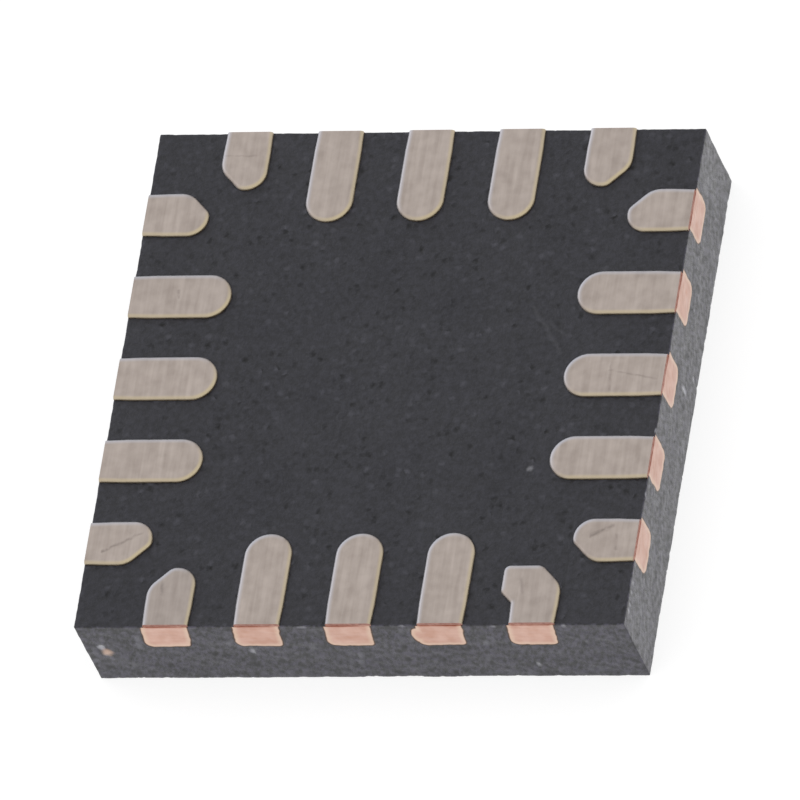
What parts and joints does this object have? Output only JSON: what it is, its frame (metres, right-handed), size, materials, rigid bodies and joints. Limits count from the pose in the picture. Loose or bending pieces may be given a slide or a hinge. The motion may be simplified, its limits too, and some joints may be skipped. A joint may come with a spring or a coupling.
{
  "type": "flat no-lead chip",
  "caption": "Thin square flat no-lead chip package: sawn black epoxy block with tin-finished solder lands along its four edges and bare copper lead ends on its sides.",
  "frame": {"origin": "centre of the moulded top, which lies on z = 0", "axes": "+Z out of the lands, the shortest way through the package; X and Y along its sides; the first terminal is at the +X end of the -Y side"},
  "size_m": [0.003, 0.003, 0.0005],
  "materials": {
    "epoxy": "matt moulded, sawn sides",
    "tin": "matt tin plate",
    "copper": "sawn copper strip",
    "silicon": "ground silicon",
    "film": "cured adhesive film",
    "wire": "drawn copper wire"
  },
  "bodies": {
    "root": {"mould_body": "epoxy", "land_plating": "tin", "die": "silicon", "die_attach": "film", "terminal_01": "copper", "terminal_02": "copper", "terminal_03": "copper", "terminal_04": "copper", "terminal_05": "copper", "terminal_06": "copper", "terminal_07": "copper", "terminal_08": "copper", "terminal_09": "copper", "terminal_10": "copper", "terminal_11": "copper", "terminal_12": "copper", "terminal_13": "copper", "terminal_14": "copper", "terminal_15": "copper", "terminal_16": "copper", "terminal_17": "copper", "terminal_18": "copper", "terminal_19": "copper", "terminal_20": "copper", "bond_wire_01": "wire", "bond_wire_02": "wire", "bond_wire_03": "wire", "bond_wire_04": "wire", "bond_wire_05": "wire", "bond_wire_06": "wire", "bond_wire_07": "wire", "bond_wire_08": "wire", "bond_wire_09": "wire", "bond_wire_10": "wire", "bond_wire_11": "wire", "bond_wire_12": "wire", "bond_wire_13": "wire", "bond_wire_14": "wire", "bond_wire_15": "wire", "bond_wire_16": "wire", "bond_wire_17": "wire", "bond_wire_18": "wire", "bond_wire_19": "wire", "bond_wire_20": "wire"}
  },
  "joints": []
}
